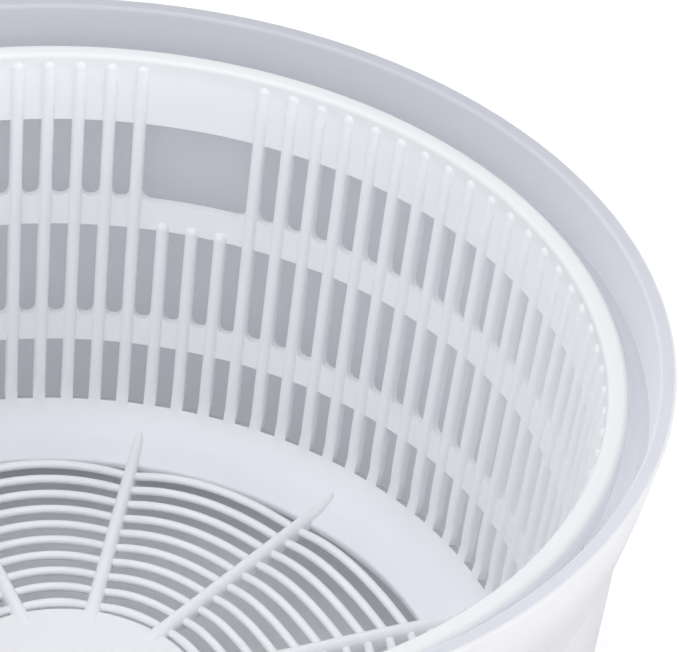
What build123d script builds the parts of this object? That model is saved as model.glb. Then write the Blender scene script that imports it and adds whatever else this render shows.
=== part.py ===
from build123d import *
import os
from math import acos, cos, pi, radians, sin, sqrt, tan

# Salad spinner, open: the bowl with its basket stands at the origin and the lid with the crank
# drive lies right way up beside it. Millimetres, +Z up, origin at the middle of the bowl's foot,
# +X from the lid towards the bowl.

os.makedirs("parts", exist_ok=True)

# Fits
running = 0.05          # radial clearance of a shaft in its bush
end_play = 0.05         # axial clearance of a turning piece
end_gap = 0.2           # free space at the end of a shaft
screw_slack = 0.3       # radial clearance of a screw in a plain hole

# Bowl
bowl_rim_radius = 123.8
bowl_height = 132.4
rim_land = 3.5          # width of the bowl's top edge
shoulder_depth = 12.6   # from the top edge down to the inner shoulder
shoulder_inset = 4.5    # the shoulder's outer edge inside the rim's radius
shoulder_width = 2.1
shoulder_fall = 0.3     # drop of the shoulder towards the middle
collar_bend_depth = 13.5
collar_bend_inset = 2.5
collar_depth = 30.9     # from the top edge down to the collar's lower end
collar_foot_inset = 6.5
collar_step = 0.6       # how far the collar stands out from the wall below it
collar_step_height = 1.0
collar_blend_radius = 20.0
bowl_wall = 2.3
base_inset = 13.1
bowl_corner_radius = 14.0
base_thickness = 2.5
foot_height = 2.2
foot_inset = 29.8
foot_width = 14.0
grip_ring_margin = 4.0  # foot left on each side of the grip ring
grip_ring_proud = 0.8
grip_ring_inset = 1.8   # how deep the ring sits in the foot

# Centre pivot
pivot_pin_radius = 3.0
pin_inset = 1.0         # how deep the pin's hole goes into the bowl's floor
pivot_boss_radius = 9.0
pivot_boss_height = 3.5
bush_wall = 2.95
bush_cap = 0.95
bush_flange_thickness = 0.95
hub_wall = 4.4

# Basket
basket_rim_drop = 7.0   # basket rim below the bowl's top edge
basket_clearance = 2.8  # between the basket's rim and the bowl's shoulder
basket_rim_width = 4.5
sump_height = 19.0      # from the bowl's floor up to the basket's
basket_wall = 1.8
basket_draft = 4.55     # degrees
basket_corner_radius = 12.0
rim_skirt_height = 6.0
floor_thickness = 2.4
rib_count = 96
rib_width = 2.9
rib_depth = 1.3
rib_tip_depth = 2.0
rib_bury = 0.3          # how far a rib's back stays inside the wall
window_ribs = 3         # ribs left out of each grip window
window_count = 2
window_rib_head = 5.4   # from the window's lower edge down to the short ribs' tips
window_angle = 77.0     # direction of the first window, from +X
slot_top_margin = 16.9  # from the rim down to the first slots
slot_bottom_margin = 7.2
slot_heights = [20.6, 25.0, 16.5]
slot_spacings = [7.6, 7.1, 0.0]
grille_inset = 22.5     # the grille's edge inside the basket's mouth
disc_radius = 32.5
disc_rise = 0.7
spoke_count = 12
spoke_width = 3.4
spoke_rise = 1.8
spoke_root = 5.0        # overlap of a spoke with the centre disc
spoke_tip_reach = 11.1  # how far a spoke's tip lies over the band round the grille
spoke_angle = 21.5
bar_count = 10
first_bar_gap = 2.7     # from the disc's edge to the middle of the first bar
last_bar_gap = 3.4      # from the middle of the last bar to the grille's edge
bar_width = 2.2
bar_thickness = 2.0
bar_arch = 0.055        # rise of a bar between two spokes, as a share of its radius

# Lid
lid_gap = 20.0          # free space between bowl and lid on the table
lid_wall = 2.4
lid_overhang = 0.6      # clearance between the bowl's edge and the lid's skirt
skirt_depth = 14.0
locating_clearance = 0.5  # between the locating ring and the bowl's shoulder
locating_ring_wall = 2.0
locating_ring_depth = 9.0
seat_rise = 0.6         # underside of the lid inside the ring, above its seat
deck_margin = 7.0       # deck left round the gear cover
deck_height = 8.0       # underside of the deck above the lid's seat
cover_wall = 2.4
cover_height = 10.6     # above the deck

# Drive
gear_module = 1.0
gear_teeth = 54
pinion_teeth = 18
pressure_angle = 20.0
gear_clearance = 2.6    # between the large gear and the cover's wall
backlash = 0.3
spindle_radius = 4.0
crank_shaft_radius = 5.0
bearing_wall = 2.95
bearing_flange = 2.0
bush_proud = 0.6        # how far a bush stands out of the wall that holds it
bearing_flange_thickness = 0.6
upper_flange_thickness = 1.2
screw_radius = 1.5
screw_head_radius = 3.4
screw_head_height = 2.2
screw_depth = 10.0      # length of the screws into the shafts
screw_bite = 6.0        # length of the cover screws in their bosses
blind_seat = 1.4        # depth of the upper spindle bush in the cover
cover_screw_inset = 13.0
cover_screw_angles = [62.0, 118.0, 242.0, 298.0]
cover_boss_radius = 4.0

# Crank
crank_throw = 50.0
crank_angle = -90.0
crank_hub_radius = 11.0
crank_boss_radius = 10.0
crank_end_radius = 9.0
crank_thickness = 5.0
crank_lift = 3.0        # arm's underside above the cover
hub_gap = 0.4           # between the upper crank bush and the arm's hub
hub_rise = 2.0          # the hub's top above the arm
hub_web = 1.5           # wall between the shaft's end and its screw's head
head_sink = 0.3         # a screw's head below the surface around it
knob_radius = 11.0
knob_height = 26.0
stud_radius = 3.0
stud_flange_radius = 6.0
stud_flange_thickness = 1.0
knob_cap_radius = 5.2
knob_ledge = 0.2        # play between the knob and its screw's head
knob_cap_thickness = 2.0
knob_screw_head_radius = 4.6

# Drive disc
disc_plate = 2.0
disc_top = 1.0          # above the lid's seat
disc_edge_clearance = 0.9
disc_edge_depth = 12.5  # below the lid's seat
disc_hub_radius = 10.0
disc_hub_height = 5.5
lug_count = 12
lug_width = 3.0
lug_clearance = 0.5
lug_height = 8.0
web_height = 3.0
web_width = 2.0
washer_radius = 8.0
washer_thickness = 1.2
web_start = 4.0         # gap between the washer and the webs
joint_overlap = 1.0     # how far lugs and webs reach into the wall they grow from

# Brake
brake_inset = 25.0      # the button's middle inside the cover's radius
brake_travel = 3.0
brake_gap = 0.1         # left between pad and disc when the button is down
button_radius = 9.0
button_height = 6.0
button_gap = 0.3
stem_radius = 4.0
stem_slack = 0.2
flange_overlap = 1.5
flange_thickness = 1.4
pad_radius = 8.0
pad_thickness = 2.4
spring_wire = 0.4       # radius
spring_radius = 6.5
spring_turns = 3

# Radii of the bowl and basket
shoulder_radius = bowl_rim_radius - shoulder_inset
collar_bend_radius = bowl_rim_radius - collar_bend_inset
collar_foot_radius = bowl_rim_radius - collar_foot_inset
wall_top_radius = collar_foot_radius - collar_step
bowl_base_radius = bowl_rim_radius - base_inset
foot_outer_radius = bowl_rim_radius - foot_inset
foot_inner_radius = foot_outer_radius - foot_width
grip_ring_outer_radius = foot_outer_radius - grip_ring_margin
grip_ring_inner_radius = foot_inner_radius + grip_ring_margin
basket_rim_radius = shoulder_radius - shoulder_width - basket_clearance
basket_mouth_radius = basket_rim_radius - basket_rim_width
grille_radius = basket_mouth_radius - grille_inset
spoke_tip_radius = grille_radius + spoke_tip_reach
first_bar_radius = disc_radius + first_bar_gap
last_bar_radius = grille_radius - last_bar_gap

# Heights of the bowl and basket
foot_bottom = grip_ring_proud
base_under = foot_bottom + foot_height
base_top = base_under + base_thickness
collar_foot = bowl_height - collar_depth
basket_rim = bowl_height - basket_rim_drop
floor_top = base_top + sump_height
floor_under = floor_top - floor_thickness
boss_top = base_top + pivot_boss_height
pin_seat = base_top - pin_inset
pin_top = floor_under - bush_cap - 2 * end_play
bush_radius = pivot_pin_radius + running + bush_wall
hub_radius = bush_radius + running + hub_wall
bush_top = pin_top + end_play + bush_cap
basket_slope = tan(radians(basket_draft))

# Depths of the slot rows below the basket's rim
slot_stack = basket_rim - floor_top - slot_top_margin - slot_bottom_margin
slot_scale = slot_stack / (sum(slot_heights) + sum(slot_spacings))
slot_tiers = []
slot_depth = slot_top_margin
for slot_height, slot_spacing in zip(slot_heights, slot_spacings):
    slot_tiers.append((slot_depth, slot_depth + slot_height * slot_scale))
    slot_depth += (slot_height + slot_spacing) * slot_scale
window_rib_tip_depth = slot_tiers[0][1] + window_rib_head


def wall_radius(height):
    """Inner radius of the basket's wall at a height above the table."""
    return basket_mouth_radius - (basket_rim - height) * basket_slope


# Heights and places of the lid, from its seat on the bowl's top edge
lid_radius = bowl_rim_radius + lid_overhang + lid_wall
locating_ring_radius = shoulder_radius - locating_clearance
lid_x = -(bowl_rim_radius + lid_radius + lid_gap)
seat = skirt_depth
deck_top = deck_height + lid_wall
cover_top = deck_top + cover_height
ceiling = cover_top - cover_wall
gear_bottom = deck_top + bearing_flange_thickness + end_play
gear_top = ceiling - upper_flange_thickness - end_play
bush_under = deck_height - bush_proud
gear_radius = gear_module * gear_teeth / 2
pinion_radius = gear_module * pinion_teeth / 2
crank_x = -(gear_radius + pinion_radius)
cover_radius = gear_radius + gear_module - crank_x + gear_clearance + cover_wall
deck_radius = cover_radius + deck_margin
cover_screw_circle = cover_radius - cover_screw_inset
brake_offset = cover_radius - brake_inset
disc_under = disc_top - disc_plate
spindle_top = ceiling + blind_seat - end_gap
shaft_under = bush_under + end_gap
arm_under = cover_top + crank_lift
arm_top = arm_under + crank_thickness
hub_under = cover_top + bush_proud + hub_gap
hub_top = arm_top + hub_rise
crank_screw_seat = hub_top - screw_head_height - head_sink
shaft_top = crank_screw_seat - hub_web
knob_x = crank_x + crank_throw * cos(radians(crank_angle))
knob_y = crank_throw * sin(radians(crank_angle))
knob_under = arm_top + stud_flange_thickness + end_play
knob_top = knob_under + knob_height
stud_top = knob_top - knob_cap_thickness - screw_head_height - 2 * head_sink
pad_top = disc_top + brake_travel + brake_gap + pad_thickness
flange_top = ceiling - 2 * end_play
flange_under = flange_top - flange_thickness
disc_edge = wall_radius(bowl_height - disc_edge_depth) - rib_depth - disc_edge_clearance
lug_radius = wall_radius(bowl_height - disc_edge_depth) - lug_clearance
web_inner = washer_radius + web_start
web_outer = disc_edge - joint_overlap
cover_screw_places = [
    (cover_screw_circle * cos(radians(angle)), cover_screw_circle * sin(radians(angle)))
    for angle in cover_screw_angles
]

lid_centre = (lid_x, 0, seat)
crank_centre = (lid_x + crank_x, 0, seat)
knob_centre = (lid_x + knob_x, knob_y, seat)
brake_centre = (lid_x + brake_offset, 0, seat)


def outline(points, base=(0, 0, 0)):
    """Closed (radius, height[, corner radius]) profile beside the upright axis through base."""
    corners = [point[2] if len(point) == 3 else 0 for point in points]
    with BuildSketch(Plane(origin=base, x_dir=(1, 0, 0), z_dir=(0, -1, 0))) as profile:
        with BuildLine():
            FilletPolyline(*[point[:2] for point in points], radius=corners, close=True)
        make_face()
    return profile.sketch


def turned(points, base=(0, 0, 0)):
    """Solid turned from an outline about the upright axis through base."""
    with BuildPart(mode=Mode.PRIVATE) as blank:
        revolve(outline(points, base), axis=Axis(base, (0, 0, 1)))
    return blank.part


def level(base, height):
    """Horizontal plane at a height above base, centred on it."""
    return Plane(origin=(base[0], base[1], base[2] + height))


def save(builder, name):
    builder.part.label = name
    export_step(builder.part, f"parts/{name}.step")


# Bowl with its foot, its corner, the flared collar and the shoulder inside it
with BuildPart() as outer_bowl:
    add(turned([
        (0, base_under),
        (foot_inner_radius, base_under),
        (foot_inner_radius, foot_bottom),
        (grip_ring_inner_radius, foot_bottom),
        (grip_ring_inner_radius, foot_bottom + grip_ring_inset),
        (grip_ring_outer_radius, foot_bottom + grip_ring_inset),
        (grip_ring_outer_radius, foot_bottom),
        (foot_outer_radius, foot_bottom),
        (foot_outer_radius, base_under),
        (bowl_base_radius, base_under, bowl_corner_radius),
        (wall_top_radius, collar_foot - collar_step_height),
        (collar_foot_radius, collar_foot, 0.6),
        (collar_bend_radius, bowl_height - collar_bend_depth, collar_blend_radius),
        (bowl_rim_radius, bowl_height, 0.8),
        (bowl_rim_radius - rim_land, bowl_height, 0.8),
        (shoulder_radius, bowl_height - shoulder_depth),
        (shoulder_radius - shoulder_width, bowl_height - shoulder_depth - shoulder_fall, 0.8),
        (wall_top_radius - bowl_wall, collar_foot - collar_step_height, collar_blend_radius),
        (bowl_base_radius - bowl_wall, base_top, bowl_corner_radius - bowl_wall),
        (pivot_pin_radius, base_top),
        (pivot_pin_radius, pin_seat),
        (0, pin_seat),
    ]))
save(outer_bowl, "outer_bowl")

with BuildPart() as grip_ring:
    add(turned([
        (grip_ring_inner_radius, 0, 0.5),
        (grip_ring_outer_radius, 0, 0.5),
        (grip_ring_outer_radius, foot_bottom + grip_ring_inset),
        (grip_ring_inner_radius, foot_bottom + grip_ring_inset),
    ]))
save(grip_ring, "grip_ring")

# Ring round the pin's foot that carries the bush
with BuildPart() as pivot_boss:
    add(turned([
        (pivot_pin_radius, base_top),
        (pivot_boss_radius, base_top),
        (pivot_boss_radius, boss_top),
        (pivot_pin_radius, boss_top),
    ]))
save(pivot_boss, "pivot_boss")

with BuildPart() as pivot_pin:
    add(turned([
        (0, pin_seat),
        (pivot_pin_radius, pin_seat),
        (pivot_pin_radius, pin_top, 1.0),
        (0, pin_top),
    ]))
save(pivot_pin, "pivot_pin")

# Cup-shaped bush that sits over the pin and carries the basket's hub
with BuildPart() as pivot_bush:
    add(turned([
        (pivot_pin_radius + running, boss_top + end_play),
        (pivot_boss_radius, boss_top + end_play),
        (pivot_boss_radius, boss_top + end_play + bush_flange_thickness),
        (bush_radius, boss_top + end_play + bush_flange_thickness),
        (bush_radius, bush_top, 0.5),
        (0, bush_top),
        (0, pin_top + end_play),
        (pivot_pin_radius + running, pin_top + end_play),
    ]))
save(pivot_bush, "pivot_bush")

# Basket: shell with three rows of slots opened all round, bridged by the ribs
with BuildPart() as basket_shell:
    add(turned([
        (grille_radius, floor_under),
        (wall_radius(floor_under) + basket_wall, floor_under, basket_corner_radius + basket_wall),
        (wall_radius(basket_rim - basket_wall) + basket_wall, basket_rim - basket_wall),
        (basket_rim_radius - basket_wall, basket_rim - basket_wall, 0.8),
        (basket_rim_radius - basket_wall, basket_rim - rim_skirt_height),
        (basket_rim_radius, basket_rim - rim_skirt_height, 0.4),
        (basket_rim_radius, basket_rim, 1.2),
        (basket_mouth_radius, basket_rim, 1.5),
        (wall_radius(floor_top), floor_top, basket_corner_radius),
        (grille_radius, floor_top),
    ]))
    for slot_top, slot_bottom in slot_tiers:
        low = basket_rim - slot_bottom
        high = basket_rim - slot_top
        add(turned([
            (grille_radius, low),
            (basket_rim_radius, low),
            (basket_rim_radius, high),
            (grille_radius, high),
        ]), mode=Mode.SUBTRACT)


def rib_profile(tip_depth):
    """Side view of one rib, from its tip down the wall and round onto the floor."""
    tip = basket_rim - tip_depth
    front = floor_top - rib_bury
    back = floor_under + rib_bury
    foot = wall_radius(floor_top) - basket_corner_radius - rib_depth
    return outline([
        (foot, back),
        (wall_radius(back) + basket_wall - rib_bury, back, basket_corner_radius + basket_wall),
        (wall_radius(tip) + basket_wall - rib_bury, tip),
        (wall_radius(tip) - rib_depth, tip, 1.2),
        (wall_radius(front) - rib_depth, front, basket_corner_radius),
        (foot, front),
    ])


with BuildPart() as full_rib:
    extrude(rib_profile(rib_tip_depth), amount=rib_width / 2, both=True)

with BuildPart() as short_rib:
    extrude(rib_profile(window_rib_tip_depth), amount=rib_width / 2, both=True)

rib_pitch = 360 / rib_count
window_pitch = rib_count // window_count
short_places = []
full_places = []
for rib in range(rib_count):
    place = Location((0, 0, 0), (0, 0, window_angle + rib_pitch * rib))
    from_window = (rib + window_ribs // 2) % window_pitch
    if from_window < window_ribs:
        short_places.append(place)
    else:
        full_places.append(place)

# Floor grille: bars run straight from spoke to spoke and arch up a little between them
sector = 360 / spoke_count
bar_pitch = (last_bar_radius - first_bar_radius) / (bar_count - 1)
with BuildPart() as grille_sector:
    with BuildSketch(Plane.XY.offset(floor_under)) as spoke_plan:
        with BuildLine():
            Polyline(
                (disc_radius - spoke_root, -spoke_width / 2),
                (last_bar_radius, -spoke_width / 2),
                (spoke_tip_radius, 0),
                (last_bar_radius, spoke_width / 2),
                (disc_radius - spoke_root, spoke_width / 2),
                close=True,
            )
        make_face()
    extrude(amount=floor_thickness + spoke_rise)
    for bar in range(bar_count):
        radius = first_bar_radius + bar * bar_pitch
        reach = radius * sin(radians(sector / 2))
        turn = radians(sector / 2)
        middle = radius * cos(turn)
        rise = radius * bar_arch
        low = floor_under + (floor_thickness - bar_thickness) / 2
        bar_plane = Plane(
            origin=(middle * cos(turn), middle * sin(turn), low),
            x_dir=(-sin(turn), cos(turn), 0),
            z_dir=(cos(turn), sin(turn), 0),
        )
        with BuildSketch(bar_plane):
            with BuildLine():
                under = ThreePointArc((-reach, 0), (0, rise), (reach, 0))
                over = ThreePointArc(
                    (-reach, bar_thickness), (0, rise + bar_thickness), (reach, bar_thickness)
                )
                Line(under @ 0, over @ 0)
                Line(under @ 1, over @ 1)
            make_face()
        extrude(amount=bar_width / 2, both=True)

with BuildPart() as basket:
    add(basket_shell.part)
    with BuildSketch(Plane.XY.offset(floor_under)):
        Circle(disc_radius)
    extrude(amount=floor_thickness + disc_rise)
    with PolarLocations(0, spoke_count, start_angle=spoke_angle):
        add(grille_sector.part)
    with Locations(*full_places):
        add(full_rib.part)
    with Locations(*short_places):
        add(short_rib.part)
    add(turned([
        (bush_radius + running, boss_top + 2 * end_play + bush_flange_thickness),
        (hub_radius, boss_top + 2 * end_play + bush_flange_thickness, 0.5),
        (hub_radius + 1.0, floor_under),
        (bush_radius + running, floor_under),
    ]))
save(basket, "basket")



def flanged_bush(base, bore, end, shoulder, face):
    """Bush whose body runs from end to shoulder, with its flange from shoulder to face."""
    body = bore + bearing_wall
    return turned([
        (bore, end),
        (body, end),
        (body, shoulder),
        (body + bearing_flange, shoulder),
        (body + bearing_flange, face),
        (bore, face),
    ], base)


def screw(base, under_head, tip, head_radius=screw_head_radius):
    """Pan-head screw seated at one height, with its shank running to another."""
    head_end = under_head - screw_head_height if tip > under_head else under_head + screw_head_height
    return turned([
        (0, head_end),
        (head_radius, head_end, 0.6),
        (head_radius, under_head),
        (screw_radius, under_head),
        (screw_radius, tip),
        (0, tip),
    ], base)


def gear_points(teeth, first_tooth):
    """Involute outline of a spur gear with its first tooth at an angle in degrees."""
    pitch = gear_module * teeth / 2
    root = pitch - 1.25 * gear_module
    tip = pitch + gear_module
    base = pitch * cos(radians(pressure_angle))
    start = max(root, base)
    half_tooth = (pi * gear_module - backlash) / 4 / pitch
    flank = [start, start + (tip - start) / 3, start + 2 * (tip - start) / 3, tip]

    def half_angle(radius):
        at_radius = acos(min(1.0, base / radius))
        at_pitch = radians(pressure_angle)
        return half_tooth + (tan(at_pitch) - at_pitch) - (tan(at_radius) - at_radius)

    points = []
    for tooth in range(teeth):
        middle = radians(first_tooth) + 2 * pi * tooth / teeth
        rising = [(radius, middle - half_angle(radius)) for radius in flank]
        falling = [(radius, middle + half_angle(radius)) for radius in reversed(flank)]
        sides = rising + falling
        if root < start:
            sides = [(root, rising[0][1])] + sides + [(root, falling[-1][1])]
        points += [(radius * cos(angle), radius * sin(angle)) for radius, angle in sides]
    return points


# Lid shell: skirt outside the bowl's collar, locating ring inside it, raised deck in the middle
with BuildPart() as lid_shell:
    add(turned([
        (spindle_radius + running + bearing_wall, deck_height),
        (deck_radius, deck_height, 8.0),
        (locating_ring_radius - locating_ring_wall, seat_rise),
        (locating_ring_radius - locating_ring_wall, -locating_ring_depth, 0.5),
        (locating_ring_radius, -locating_ring_depth, 0.5),
        (locating_ring_radius, 0),
        (lid_radius - lid_wall, 0),
        (lid_radius - lid_wall, -skirt_depth),
        (lid_radius, -skirt_depth, 0.8),
        (lid_radius, lid_wall, 4.0),
        (locating_ring_radius, lid_wall, 6.0),
        (deck_radius, deck_top, 8.0),
        (spindle_radius + running + bearing_wall, deck_top),
    ], lid_centre))
    with BuildSketch(level(crank_centre, deck_height)):
        Circle(crank_shaft_radius + running + bearing_wall)
    extrude(amount=lid_wall, mode=Mode.SUBTRACT)
    with BuildSketch(level(brake_centre, deck_height)):
        Circle(stem_radius + stem_slack)
    extrude(amount=lid_wall, mode=Mode.SUBTRACT)
    with BuildSketch(level(lid_centre, deck_height)):
        with Locations(*cover_screw_places):
            Circle(screw_radius + screw_slack)
    extrude(amount=lid_wall, mode=Mode.SUBTRACT)
save(lid_shell, "lid_shell")

# Cover over the gears, with screw bosses inside and a blind seat for the spindle's upper bush
with BuildPart() as gear_cover:
    add(turned([
        (0, ceiling + blind_seat),
        (spindle_radius + running + bearing_wall, ceiling + blind_seat),
        (spindle_radius + running + bearing_wall, ceiling),
        (cover_radius - cover_wall, ceiling, 2.0),
        (cover_radius - cover_wall, deck_top),
        (cover_radius, deck_top),
        (cover_radius, cover_top, 4.4),
        (0, cover_top),
    ], lid_centre))
    with BuildSketch(level(lid_centre, deck_top)):
        with Locations(*cover_screw_places):
            Circle(cover_boss_radius)
    extrude(amount=ceiling - deck_top)
    with BuildSketch(level(lid_centre, deck_top)):
        with Locations(*cover_screw_places):
            Circle(screw_radius)
    extrude(amount=screw_bite, mode=Mode.SUBTRACT)
    with BuildSketch(level(crank_centre, ceiling)):
        Circle(crank_shaft_radius + running + bearing_wall)
    extrude(amount=cover_wall, mode=Mode.SUBTRACT)
    with BuildSketch(level(brake_centre, ceiling)):
        Circle(button_radius + button_gap)
    extrude(amount=cover_wall, mode=Mode.SUBTRACT)
save(gear_cover, "gear_cover")

with BuildPart() as cover_screws:
    for place_x, place_y in cover_screw_places:
        add(screw((lid_x + place_x, place_y, seat), deck_height, deck_top + screw_bite))
save(cover_screws, "cover_screws")

# Bushes of the spindle and of the crank shaft
with BuildPart() as spindle_lower_bush:
    add(flanged_bush(
        lid_centre, spindle_radius + running, bush_under, deck_top, deck_top + bearing_flange_thickness
    ))
save(spindle_lower_bush, "spindle_lower_bush")

with BuildPart() as spindle_upper_bush:
    add(flanged_bush(
        lid_centre,
        spindle_radius + running,
        ceiling + blind_seat,
        ceiling,
        ceiling - upper_flange_thickness,
    ))
save(spindle_upper_bush, "spindle_upper_bush")

with BuildPart() as crank_lower_bush:
    add(flanged_bush(
        crank_centre,
        crank_shaft_radius + running,
        bush_under,
        deck_top,
        deck_top + bearing_flange_thickness,
    ))
save(crank_lower_bush, "crank_lower_bush")

with BuildPart() as crank_upper_bush:
    add(flanged_bush(
        crank_centre,
        crank_shaft_radius + running,
        cover_top + bush_proud,
        ceiling,
        ceiling - upper_flange_thickness,
    ))
save(crank_upper_bush, "crank_upper_bush")

# Gear pair: the large gear on the crank shaft turns the pinion on the spindle
with BuildPart() as drive_gear:
    with BuildSketch(level(crank_centre, gear_bottom)):
        Polygon(*gear_points(gear_teeth, 0), align=None)
        Circle(crank_shaft_radius, mode=Mode.SUBTRACT)
        with PolarLocations(gear_radius * 0.6, 6):
            Circle(gear_radius * 0.16, mode=Mode.SUBTRACT)
    extrude(amount=gear_top - gear_bottom)
save(drive_gear, "drive_gear")

with BuildPart() as pinion:
    with BuildSketch(level(lid_centre, gear_bottom)):
        Polygon(*gear_points(pinion_teeth, 180 + 180 / pinion_teeth), align=None)
        Circle(spindle_radius, mode=Mode.SUBTRACT)
    extrude(amount=gear_top - gear_bottom)
save(pinion, "pinion")

with BuildPart() as spindle:
    add(turned([
        (screw_radius, disc_under),
        (spindle_radius, disc_under),
        (spindle_radius, spindle_top, 0.5),
        (0, spindle_top),
        (0, disc_under + screw_depth),
        (screw_radius, disc_under + screw_depth),
    ], lid_centre))
save(spindle, "spindle")

with BuildPart() as crank_shaft:
    add(turned([
        (0, shaft_under),
        (crank_shaft_radius, shaft_under),
        (crank_shaft_radius, shaft_top),
        (screw_radius, shaft_top),
        (screw_radius, shaft_top - screw_depth),
        (0, shaft_top - screw_depth),
    ], crank_centre))
save(crank_shaft, "crank_shaft")

# Crank arm with a hub for the shaft and its screw
with BuildPart() as crank_arm:
    arm_plane = level(crank_centre, arm_under).rotated((0, 0, crank_angle))
    with BuildSketch(arm_plane):
        Circle(crank_hub_radius)
        with Locations((crank_throw, 0)):
            Circle(crank_end_radius)
        make_hull()
    extrude(amount=crank_thickness)
    fillet(crank_arm.edges().group_by(Axis.Z)[-1], 1.2)
    add(turned([
        (0, hub_under),
        (crank_boss_radius, hub_under),
        (crank_boss_radius, hub_top, 1.2),
        (0, hub_top),
    ], crank_centre))
    add(turned([
        (0, hub_under),
        (crank_shaft_radius, hub_under),
        (crank_shaft_radius, shaft_top),
        (screw_radius + screw_slack, shaft_top),
        (screw_radius + screw_slack, crank_screw_seat),
        (screw_head_radius + screw_slack, crank_screw_seat),
        (screw_head_radius + screw_slack, hub_top),
        (0, hub_top),
    ], crank_centre), mode=Mode.SUBTRACT)
    with BuildSketch(level(knob_centre, arm_under)):
        Circle(stud_radius)
    extrude(amount=crank_thickness, mode=Mode.SUBTRACT)
save(crank_arm, "crank_arm")

with BuildPart() as crank_screw:
    add(screw(crank_centre, crank_screw_seat, shaft_top - screw_depth))
save(crank_screw, "crank_screw")

# Knob that turns on a stud at the arm's end
with BuildPart() as knob_stud:
    add(turned([
        (0, arm_under),
        (stud_radius, arm_under),
        (stud_radius, arm_top),
        (stud_flange_radius, arm_top),
        (stud_flange_radius, arm_top + stud_flange_thickness),
        (stud_radius, arm_top + stud_flange_thickness),
        (stud_radius, stud_top),
        (screw_radius, stud_top),
        (screw_radius, stud_top - screw_depth),
        (0, stud_top - screw_depth),
    ], knob_centre))
save(knob_stud, "knob_stud")

with BuildPart() as crank_knob:
    add(turned([
        (stud_radius + running, knob_under),
        (knob_radius - 1.5, knob_under, 1.5),
        (knob_radius, knob_top, 4.5),
        (knob_cap_radius, knob_top),
        (knob_cap_radius, stud_top - knob_ledge),
        (stud_radius + running, stud_top - knob_ledge),
    ], knob_centre))
save(crank_knob, "crank_knob")

with BuildPart() as knob_cap:
    add(turned([
        (0, knob_top - knob_cap_thickness),
        (knob_cap_radius, knob_top - knob_cap_thickness),
        (knob_cap_radius, knob_top, 0.4),
        (0, knob_top),
    ], knob_centre))
save(knob_cap, "knob_cap")

with BuildPart() as knob_screw:
    add(screw(knob_centre, stud_top, stud_top - screw_depth, knob_screw_head_radius))
save(knob_screw, "knob_screw")

# Drive disc: its edge drops inside the basket's mouth and its lugs go between the ribs
with BuildPart() as drive_disc:
    add(turned([
        (spindle_radius, disc_under),
        (disc_edge - disc_plate, disc_under, 1.0),
        (disc_edge - disc_plate, -disc_edge_depth),
        (disc_edge, -disc_edge_depth, 0.5),
        (disc_edge, disc_top, 3.0),
        (disc_hub_radius, disc_top, 1.0),
        (disc_hub_radius, disc_top + disc_hub_height),
        (spindle_radius, disc_top + disc_hub_height),
    ], lid_centre))
    with BuildSketch(level(lid_centre, -disc_edge_depth)):
        with PolarLocations((disc_edge - joint_overlap + lug_radius) / 2, lug_count):
            Rectangle(lug_radius - disc_edge + joint_overlap, lug_width)
    extrude(amount=lug_height)
    with BuildSketch(level(lid_centre, disc_under - web_height)):
        with PolarLocations((web_inner + web_outer) / 2, lug_count):
            Rectangle(web_outer - web_inner, web_width)
    extrude(amount=web_height + joint_overlap / 2)
save(drive_disc, "drive_disc")

with BuildPart() as disc_washer:
    add(turned([
        (screw_radius, disc_under - washer_thickness),
        (washer_radius, disc_under - washer_thickness),
        (washer_radius, disc_under),
        (screw_radius, disc_under),
    ], lid_centre))
save(disc_washer, "disc_washer")

with BuildPart() as disc_screw:
    add(screw(lid_centre, disc_under - washer_thickness, disc_under + screw_depth))
save(disc_screw, "disc_screw")

# Brake: a sprung button whose pad rubs on the drive disc
with BuildPart() as brake_button:
    add(turned([
        (0, pad_top),
        (stem_radius, pad_top),
        (stem_radius, flange_under),
        (button_radius + button_gap + flange_overlap, flange_under),
        (button_radius + button_gap + flange_overlap, flange_top),
        (button_radius, flange_top),
        (button_radius, cover_top + button_height, 2.0),
        (0, cover_top + button_height),
    ], brake_centre))
save(brake_button, "brake_button")

with BuildPart() as brake_pad:
    add(turned([
        (0, pad_top - pad_thickness),
        (pad_radius, pad_top - pad_thickness, 0.6),
        (pad_radius, pad_top),
        (0, pad_top),
    ], brake_centre))
save(brake_pad, "brake_pad")

spring_height = flange_under - deck_top - 2 * spring_wire - 2 * end_play
with BuildPart() as brake_spring:
    with BuildLine(level(brake_centre, deck_top + spring_wire + end_play)):
        coil = Helix(pitch=spring_height / spring_turns, height=spring_height, radius=spring_radius)
    with BuildSketch(Plane(origin=coil @ 0, z_dir=coil % 0)):
        Circle(spring_wire)
    sweep()
save(brake_spring, "brake_spring")
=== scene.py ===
from math import cos, pi, radians, sin, sqrt, tan

import bmesh
import bpy
import numpy as np
from mathutils import Matrix, Vector


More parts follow.
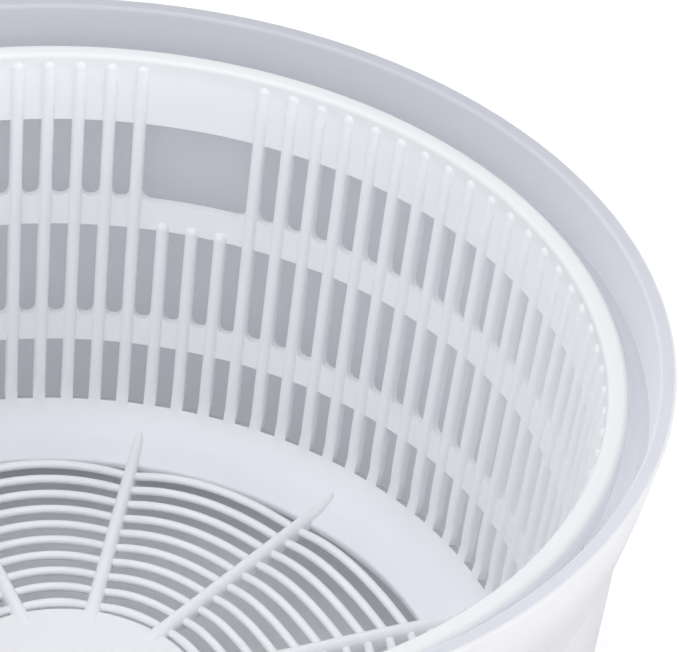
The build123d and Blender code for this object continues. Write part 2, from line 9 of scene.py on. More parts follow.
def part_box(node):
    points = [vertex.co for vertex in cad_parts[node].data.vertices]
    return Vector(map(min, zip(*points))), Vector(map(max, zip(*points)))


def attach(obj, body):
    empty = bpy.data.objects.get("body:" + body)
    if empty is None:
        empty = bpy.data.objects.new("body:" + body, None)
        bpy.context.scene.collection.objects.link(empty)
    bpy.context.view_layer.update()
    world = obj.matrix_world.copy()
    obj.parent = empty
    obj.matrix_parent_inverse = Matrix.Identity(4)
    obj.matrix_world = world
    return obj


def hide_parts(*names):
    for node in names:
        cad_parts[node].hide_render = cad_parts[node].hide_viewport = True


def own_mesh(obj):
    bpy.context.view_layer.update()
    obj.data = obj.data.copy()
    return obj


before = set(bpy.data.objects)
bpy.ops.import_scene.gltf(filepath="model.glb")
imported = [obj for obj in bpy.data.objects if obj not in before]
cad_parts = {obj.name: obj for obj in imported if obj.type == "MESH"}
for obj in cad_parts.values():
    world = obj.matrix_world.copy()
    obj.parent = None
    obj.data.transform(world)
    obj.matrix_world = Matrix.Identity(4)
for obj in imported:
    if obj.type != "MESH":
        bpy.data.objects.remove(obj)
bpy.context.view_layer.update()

# Sizes are in millimetres, which MM turns into metres. Lamps and camera are in metres.
MM = 0.001
scene = bpy.context.scene

# Basket: the rim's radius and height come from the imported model, the rest follows the CAD sizes
_, basket_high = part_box("basket")
RIM_Z = basket_high.z / MM
RIM_RADIUS = basket_high.x / MM
MOUTH_RADIUS = RIM_RADIUS - 4.5
MOUTH_FILLET = 0.9          # rounding of the rim's inner edge
RIM_FILLET = 1.2            # and of its outer edge
SKIRT_HEIGHT = 6.0          # the rim's turned-down edge
WALL = 1.8
DRAFT = 4.55                # degrees from upright
CORNER = 12.0               # radius from wall to floor
CORNER_STEPS = 40
FLOOR_Z = RIM_Z - 100.9
FLOOR_THICKNESS = 2.4
GRILLE_RADIUS = MOUTH_RADIUS - 22.5
OUTER_START = 2.2           # where the wall's outer face leaves the rim, along the wall
THICKENING = (88.4, 14.0)   # where the wall starts to thicken into the floor, and over what length

# Ribs and slots
RIB_COUNT = 96
RIB_HALF = 1.45             # half a rib's width
RIB_PROUD = 1.3
RIB_TIP = 1.9               # top of a rib below the rim
RIB_LEAST = 0.16            # the narrowest that its rounded top gets, as a share of its width
RIB_TIP_SHARE = 0.6         # a rib's height at its top, which grows to all of it
RIB_TIP_LENGTH = 9.0        # over this length
RIB_FADE = (6.0, 0.5)       # fading starts and ends this far inside the lowest slots
RIB_START = 77.0            # direction of rib 0, the middle of a grip window, in degrees
SHORT_TIP = 42.9            # top of the short ribs under a grip window
WINDOW_RIBS = 3
WINDOW_STEP = 48
SLOT_WIDTH = 4.4
TIERS = [(16.9, 37.5), (45.1, 70.1), (77.2, 93.7)]
U_DEPTH = 2.1               # rounding at the lower end of a slot
U_POWER = 2.2               # 2 would make it an ellipse

# Middle disc, spokes and bars
DISC_RADIUS = 32.5
DISC_RISE = 0.7
DISC_FILLET = 1.2
HUB_HEIGHT = 14.0
HUB_STEPS = 96
SPOKES = 12
SPOKE_START = 21.5          # direction of the first spoke, in degrees
SPOKE_HALF = 1.85
SPOKE_TAPER = 0.25 / 60     # loss of half width per millimetre
SPOKE_RISE = 1.8
SPOKE_SINK = 0.9            # how far a spoke's lower half lies in the floor
SPOKE_UNDER = (2.3, 1.5)    # its underside below the floor, over the grille and over the band
SPOKE_CROWN = 0.8           # 1 would make its cross section an ellipse
SPOKE_ROOT = 26.0
SPOKE_ROOT_END = 35.5       # where a spoke has left the disc
SPOKE_TIP_START = 84.0      # and where it begins to narrow
SPOKE_TIP = 97.6
SPOKE_TIP_LOSS = (0.3, 0.4)     # share of width and of height that it loses towards its tip
SPOKE_TIP_POWER = (24, 18)      # how late its tip's rounding begins, in width and in height
SPOKE_ROOT_WIDER = 0.5
SPOKE_ROOT_LOSS = 0.75      # share of height that it loses in the disc
SPOKE_POINTS = 11           # in one cross section
STATIONS = [
    SPOKE_ROOT, 28.5, 30.5, 32.0, 33.5, SPOKE_ROOT_END, 40.0, 50.0, 60.0, 70.0, 80.0, 86.0, 90.0,
    93.0, 94.8, 96.0, 96.8, 97.3, 97.58,
]
BARS = 10
FIRST_BAR = 35.2
LAST_BAR = 84.0
BAR_HALF_WIDTH = 1.1
BAR_HALF_HEIGHT = 1.0
BAR_SINK = 0.2              # top of a bar's end below the floor
BAR_PULL = 0.046            # bow towards the middle, as a share of a bar's radius
BAR_ARCH = 0.064            # rise between two spokes, likewise
BAR_STEPS = 14              # between two spokes
ROUND = 10                  # points round a bar or wire

# Brake spring
SPRING_WIRE = 0.4
SPRING_TURNS = 3
SPRING_STEPS = 120

# Finishes
DRIFT_SCALE = 35.0          # of the slow change in colour and gloss, per metre
GRAIN_DEPTH = 0.0004        # in metres

# Basket tones, floor (0) to rim (1): a painted cool reflection on the floor, painted shade at the
# rim
BASKET_SHADE_AND_REFLECTION = [
    (0.0, (0.975, 0.98, 1.0)),
    (0.03, (0.975, 0.98, 0.995)),
    (0.08, (0.978, 0.975, 0.964)),
    (0.955, (0.978, 0.975, 0.964)),
    (0.975, (0.935, 0.93, 0.92)),
    (0.997, (0.90, 0.895, 0.88)),
]
# Painted shade over the basket's outside, and less of it on the rim's outside
BASKET_OUTSIDE_SHADE = 0.64
RIM_OUTSIDE_SHADE = 0.96
RIM_SHADE_START = (0.90, 0.94)    # the outside's painted shade changes to the rim's between these heights

# Painted light and shade on the bowl: factors on its base colour
WALL_SHADE = (0.50, 0.88)   # painted shade on the inside, darker low down, at the lower and upper WALL_SPAN
WALL_SPAN = (25.0, 75.0)
# Painted light on the outside: lighter than the inside, and neutral where the inside is cooler
OUTSIDE_PAINTED_LIGHT = (1.45, 1.36, 1.215)
# Painted light on the floor inside the bowl
FLOOR_PAINTED_LIGHT = (1.44, 1.39, 1.34)
FLOOR_SPAN = (6.0, 11.0)    # the floor's painted light gives way to the wall's tone between these heights
LIP_HIGHLIGHT_FACTOR = (1.25, 1.24, 1.2)
LIP_HIGHLIGHT_RADIUS = 120.2         # a painted highlight line along the lip
LIP_HIGHLIGHT_HALF = (0.3, 0.5)      # its half width, sharp and with its soft edge
LIP_HIGHLIGHT_SPAN = (131.2, 131.6)  # heights between which it sets in
THROUGH_SHARE = (0.66, 0.12)    # light let through by the wall and by the floor
FACING_OUT = (0.1, 0.4)     # normal times outward direction, from inside to outside

# Light: name, place, aim, width, height, power
LAMPS = [
    ("overhead", (-0.3, 0.2, 1.8), (0, 0, 0.08), 1.6, 1.6, 4),
    ("low right", (0.60, -0.38, 0.15), (0, 0, 0.10), 0.9, 0.28, 3.2),
    ("front", (-0.9, -1.2, 1.35), (0, 0, 0.08), 1.4, 1.4, 6),
]
WORLD_LEVEL = 0.88
WORLD_COLOUR = (0.98, 0.985, 1.0)
FLOOR_COLOUR = (0.86, 0.86, 0.87)
FLOOR_GLOW = 0.18

# Camera at the photograph's angle, fitted to the bowl's circles, with angles in radians
ORBIT = 0.88216
ORBIT_ANGLE = 0.65093
ORBIT_CENTRE_Z = 0.125
TURN = 0.07525
TILT = 0.64177
ROLL = 0.09335
LENS_PIXELS = 4213.977
PICTURE_WIDTH = 679


def mesh_piece(name, verts, faces, body, sharp):
    """New mesh object in the row frame from points in millimetres, smooth but for sharp edges."""
    mesh = bpy.data.meshes.new(name)
    mesh.from_pydata([Vector(v) * MM for v in verts], [], faces)
    mesh.validate()
    bm = bmesh.new()
    bm.from_mesh(mesh)
    bmesh.ops.delete(bm, geom=[v for v in bm.verts if not v.link_faces], context="VERTS")
    bmesh.ops.recalc_face_normals(bm, faces=bm.faces)
    for face in bm.faces:
        face.smooth = True
    bm.to_mesh(mesh)
    bm.free()
    mesh.set_sharp_from_angle(angle=radians(sharp))
    piece = bpy.data.objects.new(name, mesh)
    scene.collection.objects.link(piece)
    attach(piece, body)
    return piece


def ring_faces(rings, size, closed=False, start=0):
    """Quads between consecutive rings of size points each, the first point being start."""
    faces = []
    for ring in range(rings if closed else rings - 1):
        here, there = start + ring * size, start + (ring + 1) % rings * size
        for i in range(size):
            j = (i + 1) % size
            faces.append((here + i, here + j, there + j, there + i))
    return faces


def capped_faces(rings, size, start=0):
    """Faces of an open tube of rings with a cap on each end."""
    last = start + (rings - 1) * size
    faces = ring_faces(rings, size, start=start)
    faces.append(tuple(range(start, start + size)))
    faces.append(tuple(reversed(range(last, last + size))))
    return faces


def arc(centre, radius, start, end, count):
    """Points of an arc, angles in degrees."""
    angles = [radians(start + (end - start) * i / count) for i in range(count + 1)]
    return [(centre[0] + radius * cos(a), centre[1] + radius * sin(a)) for a in angles]


# Basket wall: one closed skin with ribs on its inside and slots through it
tilt = radians(DRAFT)
tangent = CORNER * tan((pi / 2 - tilt) / 2)
foot_radius = MOUTH_RADIUS - (RIM_Z - FLOOR_Z) * tan(tilt)
corner_centre = (foot_radius - tangent, FLOOR_Z + CORNER)
path = [(MOUTH_RADIUS, RIM_Z)]
path += arc(corner_centre, CORNER, -DRAFT, -90, CORNER_STEPS)
path += [(GRILLE_RADIUS + 0.8, FLOOR_Z)]
path = np.array(path)
along = np.concatenate([[0], np.cumsum(np.hypot(*np.diff(path, axis=0).T))])
path_tilts = np.concatenate([[tilt], np.linspace(tilt, pi / 2, CORNER_STEPS + 1), [pi / 2]])
TOTAL = along[-1]


def on_path(t):
    """Radius, height and inward normal of the basket's inner surface at path length t."""
    a = np.interp(t, along, path_tilts)
    return np.interp(t, along, path[:, 0]), np.interp(t, along, path[:, 1]), -np.cos(a), np.sin(a)


def length_at(depth):
    """Path length where the wall is this far below the rim."""
    above_floor = path[:, 1] >= FLOOR_Z + 1e-6
    return float(np.interp(depth - RIM_Z, -path[above_floor, 1], along[above_floor]))


# Rows of points down the wall: at the slots' ends, round the ribs' tips and through the corner
tiers = [(length_at(a), length_at(b)) for a, b in TIERS]
tier_rows = []
dome = [1 - sin(radians(f)) for f in (90, 66, 44, 21, 0)]
rows = [MOUTH_FILLET, 1.0, 1.1] + [RIB_TIP + RIB_HALF * d for d in dome] + [8.0, 12.0]
for (top, low), between, below in (
    (tiers[0], [26.6], [39.6, 41.4] + [SHORT_TIP + RIB_HALF * d for d in dome]),
    (tiers[1], [], [72.0]),
):
    tier_rows.append((len(rows), len(rows) + len(between) + 1))
    rows += [top] + between + [low - U_DEPTH] + below
top, low = tiers[2]
lowest_tier = [top, 82.4, 86.9, 90.9, low]
tier_rows.append((len(rows), len(rows) + len(lowest_tier) - 1))
rows += lowest_tier + [low + step * (TOTAL - low) for step in (0.12, 0.25, 0.4, 0.55, 0.75, 1.0)]
rows = np.array(rows)
first_low = tier_rows[0][1]

# Columns of points across one rib and the gap beside it
rib_u = np.array([-1, -0.86, -0.52, 0, 0.52, 0.86, 1])
gap_v = np.array([-0.82, -0.46, 0, 0.46, 0.82])
RIB = slice(0, len(rib_u))
GAP = slice(len(rib_u), None)
columns = len(rib_u) + len(gap_v)
row_count = len(rows)


def is_short(rib):
    return (rib + WINDOW_RIBS // 2) % WINDOW_STEP < WINDOW_RIBS


def rib_width(tip, t):
    """Half width of a rib at path length t, and how much of its height it has."""
    x = np.clip((tip + RIB_HALF - t) / RIB_HALF, 0, 1)
    round_end = np.sqrt(1 - x * x)
    return RIB_HALF * np.maximum(round_end, RIB_LEAST), np.where(t < tip, 0.0, round_end)


def surface(grid, turn, t, lift):
    """Fills grid with the points at path length t and angle turn, lifted along the normal."""
    r, z, nr, nz = on_path(t)
    grid[:, :, 0] = (r + nr * lift) * np.cos(turn)
    grid[:, :, 1] = (r + nr * lift) * np.sin(turn)
    grid[:, :, 2] = z + nz * lift


inner = np.zeros((RIB_COUNT, columns, row_count, 3))
outer = np.zeros((RIB_COUNT, columns, row_count, 3))
pitch = 2 * pi / RIB_COUNT
fade_start, fade_end = tiers[2][0] + RIB_FADE[0], tiers[2][1] - RIB_FADE[1]
fade = 1 - np.clip((rows - fade_start) / (fade_end - fade_start), 0, 1) ** 2
u_curve = (1 - np.abs(gap_v) ** U_POWER) ** (1 / U_POWER)
reach = np.clip((1 + gap_v) / 2 * SLOT_WIDTH / U_DEPTH, 0, 1)
corner_drop = U_DEPTH * (1 - np.sqrt(1 - (1 - reach) ** 2))
for rib in range(RIB_COUNT):
    angle = radians(RIB_START) + pitch * rib
    short, next_short = is_short(rib), is_short((rib + 1) % RIB_COUNT)
    t_grid = np.tile(rows, (columns, 1))
    for tier in (0, 1):
        t_grid[GAP, tier_rows[tier][1]] = tiers[tier][1] - U_DEPTH * (1 - u_curve)
    if short:
        t_grid[RIB, first_low] = tiers[0][1]
    if short or next_short:
        t_grid[GAP, first_low] = tiers[0][1]
        if not short:
            t_grid[GAP, first_low] -= corner_drop
        if not next_short:
            t_grid[GAP, first_low] -= corner_drop[::-1]
    r = on_path(t_grid)[0]
    wide, tall = rib_width(SHORT_TIP if short else RIB_TIP, t_grid)
    next_wide, _ = rib_width(SHORT_TIP if next_short else RIB_TIP, t_grid)
    turn = np.zeros_like(t_grid)
    turn[RIB] = angle + rib_u[:, None] * wide[RIB] / r[RIB]
    left = angle + wide[GAP] / r[GAP]
    right = angle + pitch - next_wide[GAP] / r[GAP]
    turn[GAP] = left + (right - left) * ((gap_v + 1) / 2)[:, None]
    height = np.zeros_like(t_grid)
    below_tip = np.clip((t_grid[RIB] - RIB_TIP) / RIB_TIP_LENGTH, 0, 1)
    rise = RIB_TIP_SHARE + (1 - RIB_TIP_SHARE) * below_tip
    height[RIB] = RIB_PROUD * np.sqrt(1 - rib_u[:, None] ** 2) * tall[RIB] * fade * rise
    surface(inner[rib], turn, t_grid, height)
    top = tiers[0][0]
    t_out = np.where(t_grid < top, OUTER_START + t_grid * (top - OUTER_START) / top, t_grid)
    share = np.clip((t_out - THICKENING[0]) / THICKENING[1], 0, 1)
    surface(outer[rib], turn, t_out, -(WALL + (FLOOR_THICKNESS - WALL) * share))

hole = np.zeros((RIB_COUNT, columns, row_count - 1), bool)
for top_row, low_row in tier_rows:
    hole[:, len(rib_u) - 1:, top_row:low_row] = True
for rib in range(RIB_COUNT):
    if is_short(rib):
        hole[rib, :len(rib_u) - 1, slice(*tier_rows[0])] = True

verts = np.concatenate([inner.reshape(-1, 3), outer.reshape(-1, 3)])
outer_start = RIB_COUNT * columns * row_count
total_columns = RIB_COUNT * columns


def wall_vertex(column, row, side):
    return side * outer_start + (column % total_columns) * row_count + row


def strip(column, row, start, count):
    """Vertices from the wall's inner face over count points from start on to its outer face."""
    first = start + column % total_columns * count
    between = list(range(first, first + count))
    return [wall_vertex(column, row, 0)] + between + [wall_vertex(column, row, 1)]


flat_hole = hole.reshape(total_columns, row_count - 1)
faces = []
for column in range(total_columns):
    for row in range(row_count - 1):
        a, b = (column, row), (column + 1, row)
        c, d = (column + 1, row + 1), (column, row + 1)
        if not flat_hole[column, row]:
            faces.append([wall_vertex(*p, 0) for p in (a, b, c, d)])
            faces.append([wall_vertex(*p, 1) for p in (d, c, b, a)])
            continue
        sides = []
        if not flat_hole[column - 1, row]:
            sides.append((a, d))
        if not flat_hole[(column + 1) % total_columns, row]:
            sides.append((c, b))
        if row == 0 or not flat_hole[column, row - 1]:
            sides.append((b, a))
        if row == row_count - 2 or not flat_hole[column, row + 1]:
            sides.append((d, c))
        for p, q in sides:
            ends = (p, 0), (q, 0), (q, 1), (p, 1)
            faces.append([wall_vertex(*point, side) for point, side in ends])

# Rolled rim above the wall, and the rounded inner edge of the floor band
mouth_centre = (MOUTH_RADIUS + MOUTH_FILLET, RIM_Z - MOUTH_FILLET)
rim_points = arc(mouth_centre, MOUTH_FILLET, 180, 90, 5)[1:]
rim_points += arc((RIM_RADIUS - RIM_FILLET, RIM_Z - RIM_FILLET), RIM_FILLET, 90, 0, 5)
rim_points += [
    (RIM_RADIUS, RIM_Z - SKIRT_HEIGHT + 0.4), (RIM_RADIUS - 0.4, RIM_Z - SKIRT_HEIGHT),
    (RIM_RADIUS - 1.4, RIM_Z - SKIRT_HEIGHT), (RIM_RADIUS - WALL, RIM_Z - SKIRT_HEIGHT + 0.4),
    (RIM_RADIUS - WALL, RIM_Z - 2.6), (RIM_RADIUS - WALL - 0.8, RIM_Z - 1.9),
]
edge_points = [
    (GRILLE_RADIUS + 0.2, FLOOR_Z - 0.25), (GRILLE_RADIUS, FLOOR_Z - 0.8),
    (GRILLE_RADIUS, FLOOR_Z - 1.7), (GRILLE_RADIUS + 0.25, FLOOR_Z - 2.2),
]
extra = []
inner_flat = inner.reshape(total_columns, row_count, 3)
for row, ring_points in ((0, rim_points), (row_count - 1, edge_points)):
    start = len(verts) + len(extra)
    for a in np.arctan2(inner_flat[:, row, 1], inner_flat[:, row, 0]):
        extra += [(r * cos(a), r * sin(a), z) for r, z in ring_points]
    count = len(ring_points)
    for column in range(total_columns):
        here, there = (strip(c, row, start, count) for c in (column, column + 1))
        for i in range(count + 1):
            faces.append([here[i], there[i], there[i + 1], here[i + 1]])
verts = [tuple(v) for v in verts] + extra
basket_wall = mesh_piece("basket_wall", verts, faces, "basket", sharp=48)
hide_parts("basket")

# Floor grille: round bars that run all round and arch up between the spokes
sector = 2 * pi / SPOKES
verts, faces = [], []
for bar in range(BARS):
    radius = FIRST_BAR + bar * (LAST_BAR - FIRST_BAR) / (BARS - 1)
    start = len(verts)
    for step in range(SPOKES * BAR_STEPS):
        spoke, part = divmod(step, BAR_STEPS)
        x = 2 * part / BAR_STEPS - 1
        swell = 1 - x * x
        a = radians(SPOKE_START) + sector * (spoke + 0.5 + x / 2)
        mid_r = radius * (1 - BAR_PULL * swell)
        mid_z = FLOOR_Z - BAR_HALF_HEIGHT - BAR_SINK + radius * BAR_ARCH * swell
        for i in range(ROUND):
            f = 2 * pi * i / ROUND
            r = mid_r + BAR_HALF_WIDTH * cos(f)
            verts.append((r * cos(a), r * sin(a), mid_z + BAR_HALF_HEIGHT * sin(f)))
    faces += ring_faces(SPOKES * BAR_STEPS, ROUND, closed=True, start=start)
grille_bars = mesh_piece(
    "basket_grille_bars", verts, faces, "basket", sharp=50
)


def floor_height(r):
    """Height of the floor's upper face, with its rounded corner."""
    past = max(0.0, r - corner_centre[0])
    return FLOOR_Z + CORNER - sqrt(CORNER ** 2 - past ** 2)


# Spokes: half-round, sinking into the disc at one end and running out over the band at the other
verts, faces = [], []
for spoke in range(SPOKES):
    a = radians(SPOKE_START) + sector * spoke
    start = len(verts)
    for r in STATIONS:
        run_out = max(0.0, (r - SPOKE_TIP_START) / (SPOKE_TIP - SPOKE_TIP_START))
        run_in = max(0.0, (SPOKE_ROOT_END - r) / (SPOKE_ROOT_END - SPOKE_ROOT))
        wide = SPOKE_HALF - SPOKE_TAPER * (r - SPOKE_ROOT)
        rounding = [sqrt(max(0.0, 1 - run_out ** power)) for power in SPOKE_TIP_POWER]
        wide *= (1 - SPOKE_TIP_LOSS[0] * run_out) * rounding[0]
        wide += SPOKE_ROOT_WIDER * run_in
        tall = SPOKE_RISE * (1 - SPOKE_TIP_LOSS[1] * run_out) * rounding[1]
        tall = tall * (1 - SPOKE_ROOT_LOSS * run_in ** 1.5) + 0.02
        base = floor_height(r) - SPOKE_SINK
        under = FLOOR_Z - SPOKE_UNDER[0]
        if r >= GRILLE_RADIUS:
            under = floor_height(r) - SPOKE_UNDER[1]
        for i in range(SPOKE_POINTS):
            f = pi * i / (SPOKE_POINTS - 1)
            side = wide * cos(f)
            up = under
            if 0 < i < SPOKE_POINTS - 1:
                up = base + (tall + SPOKE_SINK) * sin(f) ** SPOKE_CROWN
            verts.append((r * cos(a) - side * sin(a), r * sin(a) + side * cos(a), up))
    faces += capped_faces(len(STATIONS), SPOKE_POINTS, start)
spokes = mesh_piece("basket_spokes", verts, faces, "basket", sharp=50)

# Middle disc and the hub under it, turned from one outline of radii and heights
disc_top = FLOOR_Z + DISC_RISE
hub_foot = FLOOR_Z - HUB_HEIGHT
outline = [(0.02, disc_top), (14.0, disc_top), (26.0, disc_top)]
outline += arc((DISC_RADIUS - DISC_FILLET, disc_top - DISC_FILLET), DISC_FILLET, 90, 0, 5)
outline += [(DISC_RADIUS, FLOOR_Z - 1.9), (DISC_RADIUS - 0.5, FLOOR_Z - FLOOR_THICKNESS)]
outline += [(12.4, FLOOR_Z - FLOOR_THICKNESS), (11.4, FLOOR_Z - 3.4), (10.5, hub_foot + 0.4)]
outline += [(10.1, hub_foot), (6.1, hub_foot), (6.05, FLOOR_Z - 2.5), (0.02, FLOOR_Z - 2.3)]
verts = []
for step in range(HUB_STEPS):
    a = 2 * pi * step / HUB_STEPS
    verts += [(r * cos(a), r * sin(a), z) for r, z in outline]
faces = ring_faces(HUB_STEPS, len(outline), closed=True)
hub = mesh_piece("basket_disc_and_hub", verts, faces, "basket", sharp=50)

# Brake spring, a coil over the CAD spring's length; the real one shortens as the button goes down
spring_low, spring_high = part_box("brake_spring")
coil_x = (spring_low.x + spring_high.x) / 2 / MM
coil_y = (spring_low.y + spring_high.y) / 2 / MM
coil_radius = (spring_high.y - spring_low.y) / 2 / MM - SPRING_WIRE
coil_low = spring_low.z / MM + SPRING_WIRE
coil_high = spring_high.z / MM - SPRING_WIRE
verts = []
for step in range(SPRING_STEPS + 1):
    share = step / SPRING_STEPS
    a = 2 * pi * SPRING_TURNS * share
    for i in range(ROUND):
        f = 2 * pi * i / ROUND
        r = coil_radius + SPRING_WIRE * cos(f)
        z = coil_low + (coil_high - coil_low) * share + SPRING_WIRE * sin(f)
        verts.append((coil_x + r * cos(a), coil_y + r * sin(a), z))
faces = capped_faces(SPRING_STEPS + 1, ROUND)
spring = mesh_piece("brake_spring_coil", verts, faces, "lid", sharp=60)
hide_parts("brake_spring")
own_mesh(spring)


# Materials
class Shading:
    """A material's or the world's nodes, with new ones wired as they are made."""

    def __init__(self, owner):
        self.nodes = owner.node_tree.nodes
        self.links = owner.node_tree.links

    def put(self, socket, value):
        """Links value to the socket if it is another node's output, or else sets it."""
        if isinstance(value, bpy.types.NodeSocket):
            self.links.new(value, socket)
        else:
            socket.default_value = value

    def add(self, kind, operation=None, **inputs):
        """New node with its inputs given by name, or as at0, at1 by their place."""
        node = self.nodes.new("ShaderNode" + kind)
        if operation:
            node.operation = operation
        for name, value in inputs.items():
            key = int(name[2:]) if name.startswith("at") else name.replace("_", " ")
            self.put(node.inputs[key], value)
        return node.outputs

    def maths(self, operation, first, second):
        return self.add("Math", operation, at0=first, at1=second)[0]

    def product(self, first, second):
        return self.add("VectorMath", "MULTIPLY", at0=first, at1=second)["Vector"]

    def ramp(self, value, span, ends=(0.0, 1.0)):
        """Goes from one end to the other as value crosses the span, and stays there."""
        return self.add(
            "MapRange", Value=value, From_Min=span[0], From_Max=span[1],
            To_Min=ends[0], To_Max=ends[1],
        )["Result"]

    def mixed(self, factor, first, second):
        """Colour from first to second as factor goes from 0 to 1."""
        node = self.nodes.new("ShaderNodeMix")
        node.data_type = "RGBA"
        for name, value in (("Factor", factor), ("A", first), ("B", second)):
            self.put(node.inputs[name], (*value, 1) if isinstance(value, tuple) else value)
        return node.outputs["Result"]

    def where(self):
        """Place and normal on the piece, from the node that base_material made."""
        outputs = self.nodes["Texture Coordinate"].outputs
        return outputs["Object"], outputs["Normal"]

    def height(self):
        return self.add("SeparateXYZ", at0=self.where()[0])["Z"]

    def flat(self):
        """Place with its height left out."""
        return self.product(self.where()[0], (1, 1, 0))

    def facing_out(self, flat):
        """How far the surface at a flat place faces away from the upright axis, from -1 to 1."""
        outward = self.add("VectorMath", "NORMALIZE", at0=flat)["Vector"]
        return self.add("VectorMath", "DOT_PRODUCT", at0=outward, at1=self.where()[1])["Value"]

    def base_colour(self):
        """The Base Color socket, and what base_material linked to it."""
        socket = self.nodes["Principled BSDF"].inputs["Base Color"]
        return socket, socket.links[0].from_socket


def base_material(
    name, colour, roughness, spread=0.02, grain=900.0, bump=0.02, rough_spread=0.08, **sockets
):
    """Moulded plastic or metal: slow colour drift, fine grain in the bump and uneven gloss."""
    material = bpy.data.materials.new(name)
    material.use_nodes = True
    shading = Shading(material)
    shader = shading.nodes["Principled BSDF"]
    for socket, value in sockets.items():
        shader.inputs[socket].default_value = value
    place = shading.add("TexCoord")["Object"]
    drift = shading.add("TexNoise", Vector=place, Scale=DRIFT_SCALE, Detail=4.0)["Fac"]
    low = tuple(max(0.0, c * (1 - spread)) for c in colour)
    high = tuple(min(1.0, c * (1 + spread)) for c in colour)
    shading.links.new(shading.mixed(drift, low, high), shader.inputs["Base Color"])
    gloss = shading.ramp(drift, (0.0, 1.0), (roughness - rough_spread, roughness + rough_spread))
    shading.links.new(gloss, shader.inputs["Roughness"])
    fine = shading.add("TexNoise", Vector=place, Scale=grain, Detail=3.0)["Fac"]
    relief = shading.add("Bump", Strength=bump, Distance=GRAIN_DEPTH, Height=fine)["Normal"]
    shading.links.new(relief, shader.inputs["Normal"])
    return material


def let_light_through(material, colour, share):
    """Mixes in light that comes from behind, as a thin translucent wall does."""
    shading = Shading(material)
    shader = shading.nodes["Principled BSDF"].outputs["BSDF"]
    through = shading.add("BsdfTranslucent", Color=(*colour, 1))["BSDF"]
    mix = shading.add("MixShader", Fac=share, at1=shader, at2=through)["Shader"]
    shading.links.new(mix, shading.nodes["Material Output"].inputs["Surface"])


def metres(span):
    return tuple(value * MM for value in span)


def shade_bowl(material):
    """Bowl: painted light outside and on the opaque floor, cooler painted shade inside, painted
    lip highlight.
    """
    shading = Shading(material)
    height = shading.height()
    flat = shading.flat()
    radius = shading.add("VectorMath", "LENGTH", at0=flat)["Value"]
    outside = shading.ramp(shading.facing_out(flat), FACING_OUT)
    bottom = shading.ramp(height, metres(FLOOR_SPAN), (1.0, 0.0))
    in_bowl = shading.maths("MULTIPLY", bottom, shading.maths("SUBTRACT", 1.0, outside))
    # Painted highlight line along the lip
    off_edge = shading.maths("SUBTRACT", radius, LIP_HIGHLIGHT_RADIUS * MM)
    off_edge = shading.maths("ABSOLUTE", off_edge, 0.0)
    on_edge = shading.ramp(off_edge, metres(LIP_HIGHLIGHT_HALF), (1.0, 0.0))
    lip_highlight = shading.maths("MULTIPLY", on_edge, shading.ramp(height, metres(LIP_HIGHLIGHT_SPAN)))
    # Painted shade inside, darker low down, and painted light on the outside
    shade = shading.ramp(height, metres(WALL_SPAN), WALL_SHADE)
    inside = shading.add("CombineColor", at0=shade, at1=shade, at2=shade)["Color"]
    factor = shading.mixed(outside, inside, OUTSIDE_PAINTED_LIGHT)
    # Painted light on the floor, which also lets less light through
    factor = shading.mixed(in_bowl, factor, FLOOR_PAINTED_LIGHT)
    factor = shading.mixed(lip_highlight, factor, LIP_HIGHLIGHT_FACTOR)
    socket, tint = shading.base_colour()
    shading.links.new(shading.product(tint, factor), socket)
    through = shading.ramp(bottom, (0.0, 1.0), THROUGH_SHARE)
    shading.links.new(through, shading.nodes["Mix Shader"].inputs["Fac"])


def shade_basket(material):
    """Basket: a painted cool reflection on the floor, painted shade at the rim and over the whole
    outside.
    """
    shading = Shading(material)
    share = shading.ramp(shading.height(), metres((FLOOR_Z, RIM_Z)))
    # Painted cool reflection low on the floor and painted shade near the rim, by height
    ramp = shading.nodes.new("ShaderNodeValToRGB")
    shading.links.new(share, ramp.inputs["Fac"])
    stops = ramp.color_ramp.elements
    for stop, (position, tone) in zip(stops, (BASKET_SHADE_AND_REFLECTION[0], BASKET_SHADE_AND_REFLECTION[-1])):
        stop.position, stop.color = position, (*tone, 1)
    for position, tone in BASKET_SHADE_AND_REFLECTION[1:-1]:
        stops.new(position).color = (*tone, 1)
    socket, tint = shading.base_colour()
    painted_tint = shading.product(tint, ramp.outputs["Color"])
    # Painted shade over the outside faces, lighter along the rim
    facing = shading.facing_out(shading.flat())
    outside = shading.ramp(facing, FACING_OUT, (1.0, BASKET_OUTSIDE_SHADE))
    rim_shade = shading.ramp(share, RIM_SHADE_START, (0.0, RIM_OUTSIDE_SHADE))
    factor = shading.maths("MAXIMUM", outside, rim_shade)
    painted_tint = shading.add("VectorMath", "SCALE", at0=painted_tint, Scale=factor)["Vector"]
    shading.links.new(painted_tint, socket)


white = base_material("white_plastic", (0.83, 0.837, 0.85), 0.42, spread=0.012)
bar_plastic = base_material("bar_plastic", (0.93, 0.935, 0.95), 0.42, spread=0.012)
frosted = base_material("frosted_plastic", (0.70, 0.715, 0.745), 0.38, bump=0.05)
let_light_through(frosted, (0.84, 0.85, 0.88), 0.3)
bowl_plastic = base_material("bowl_plastic", (0.585, 0.605, 0.645), 0.38, bump=0.05)
let_light_through(bowl_plastic, (0.845, 0.853, 0.888), THROUGH_SHARE[0])
shade_bowl(bowl_plastic)
soft = base_material("soft_grip", (0.36, 0.38, 0.41), 0.75, spread=0.05, bump=0.15)
steel = base_material("steel", (0.62, 0.62, 0.64), 0.28, spread=0.03, Metallic=1.0)
acetal = base_material("acetal", (0.80, 0.79, 0.75), 0.35)
basket_plastic = base_material("basket_plastic", (0.93, 0.94, 0.97), 0.42, spread=0.012)
shade_basket(basket_plastic)

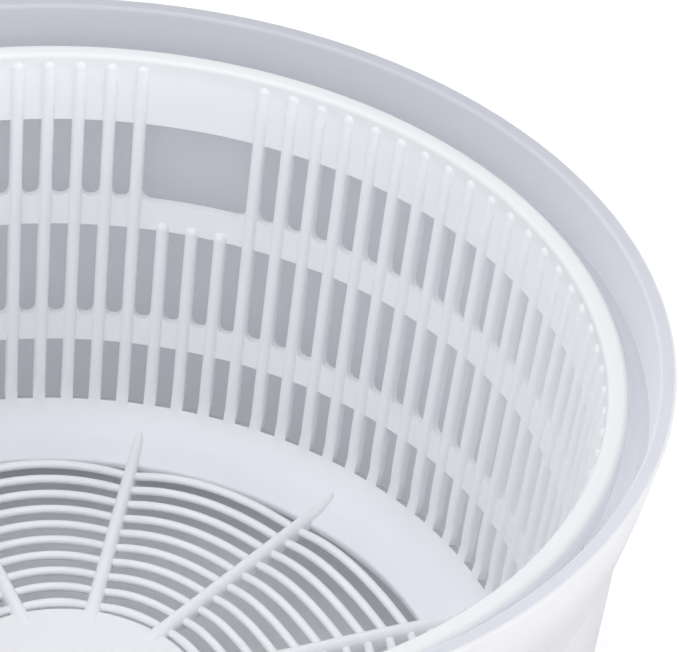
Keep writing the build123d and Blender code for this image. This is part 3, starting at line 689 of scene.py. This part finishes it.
basket_wall.data.materials.append(basket_plastic)
for piece in (grille_bars, spokes, hub):
    piece.data.materials.append(bar_plastic)
spring.data.materials.append(steel)
finishes = {
    "outer_bowl": bowl_plastic, "lid_shell": frosted, "gear_cover": white, "drive_disc": white,
    "crank_arm": white, "crank_knob": white, "knob_cap": white, "brake_button": soft,
    "grip_ring": soft, "brake_pad": soft, "pivot_pin": steel, "cover_screws": steel,
    "spindle": steel, "crank_shaft": steel, "crank_screw": steel, "knob_stud": steel,
    "knob_screw": steel, "disc_washer": steel, "disc_screw": steel, "brake_spring": steel,
}
for name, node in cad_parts.items():
    node.data.materials.clear()
    node.data.materials.append(finishes.get(name, acetal))

# Floor, which glows a little where it is seen directly, mirrored or through something clear
bpy.ops.mesh.primitive_plane_add(size=12, location=(0, 0, 0))
floor = bpy.context.object
floor.name = "floor"
ground = bpy.data.materials.new("floor")
ground.use_nodes = True
shading = Shading(ground)
shader = shading.nodes["Principled BSDF"]
ray = shading.add("LightPath")
seen = shading.maths("MAXIMUM", ray["Is Camera Ray"], ray["Is Glossy Ray"])
seen = shading.maths("MAXIMUM", seen, ray["Is Transmission Ray"])
for name, value in (
    ("Base Color", (*FLOOR_COLOUR, 1)), ("Roughness", 0.9), ("Specular IOR Level", 0.1),
    ("Emission Color", (1, 1, 1, 1)),
    ("Emission Strength", shading.maths("MULTIPLY", seen, FLOOR_GLOW)),
):
    shading.put(shader.inputs[name], value)
floor.data.materials.append(ground)

# World light, white where the camera sees it
world = bpy.data.worlds.new("studio")
scene.world = world
world.use_nodes = True
shading = Shading(world)
air = shading.nodes["Background"]
air.inputs["Color"].default_value = (*WORLD_COLOUR, 1)
ray = shading.add("LightPath")
level = shading.ramp(ray["Is Camera Ray"], (0.0, 1.0), (WORLD_LEVEL, 1.0))
shading.links.new(level, air.inputs["Strength"])

for name, place, aim, width, height, power in LAMPS:
    light = bpy.data.lights.new(name, "AREA")
    light.shape = "RECTANGLE"
    light.size = width
    light.size_y = height
    light.energy = power
    lamp = bpy.data.objects.new(name, light)
    scene.collection.objects.link(lamp)
    lamp.location = place
    lamp.rotation_euler = (Vector(aim) - Vector(place)).to_track_quat("-Z", "Y").to_euler()
    lamp.visible_camera = False

ahead = Vector((sin(TURN) * cos(TILT), cos(TURN) * cos(TILT), -sin(TILT)))
level_right = Vector((cos(TURN), -sin(TURN), 0))
level_up = level_right.cross(ahead)
right = level_right * cos(ROLL) + level_up * sin(ROLL)
up = level_up * cos(ROLL) - level_right * sin(ROLL)
camera_data = bpy.data.cameras.new("camera")
camera_data.sensor_width = 36.0
camera_data.lens = LENS_PIXELS * camera_data.sensor_width / PICTURE_WIDTH
camera_data.clip_start = 0.01
camera = bpy.data.objects.new("camera", camera_data)
scene.collection.objects.link(camera)
camera.matrix_world = Matrix((
    (right.x, up.x, -ahead.x, 0),
    (right.y, up.y, -ahead.y, -ORBIT * cos(ORBIT_ANGLE)),
    (right.z, up.z, -ahead.z, ORBIT * sin(ORBIT_ANGLE) + ORBIT_CENTRE_Z),
    (0, 0, 0, 1),
))
scene.camera = camera
scene.view_settings.view_transform = "Standard"
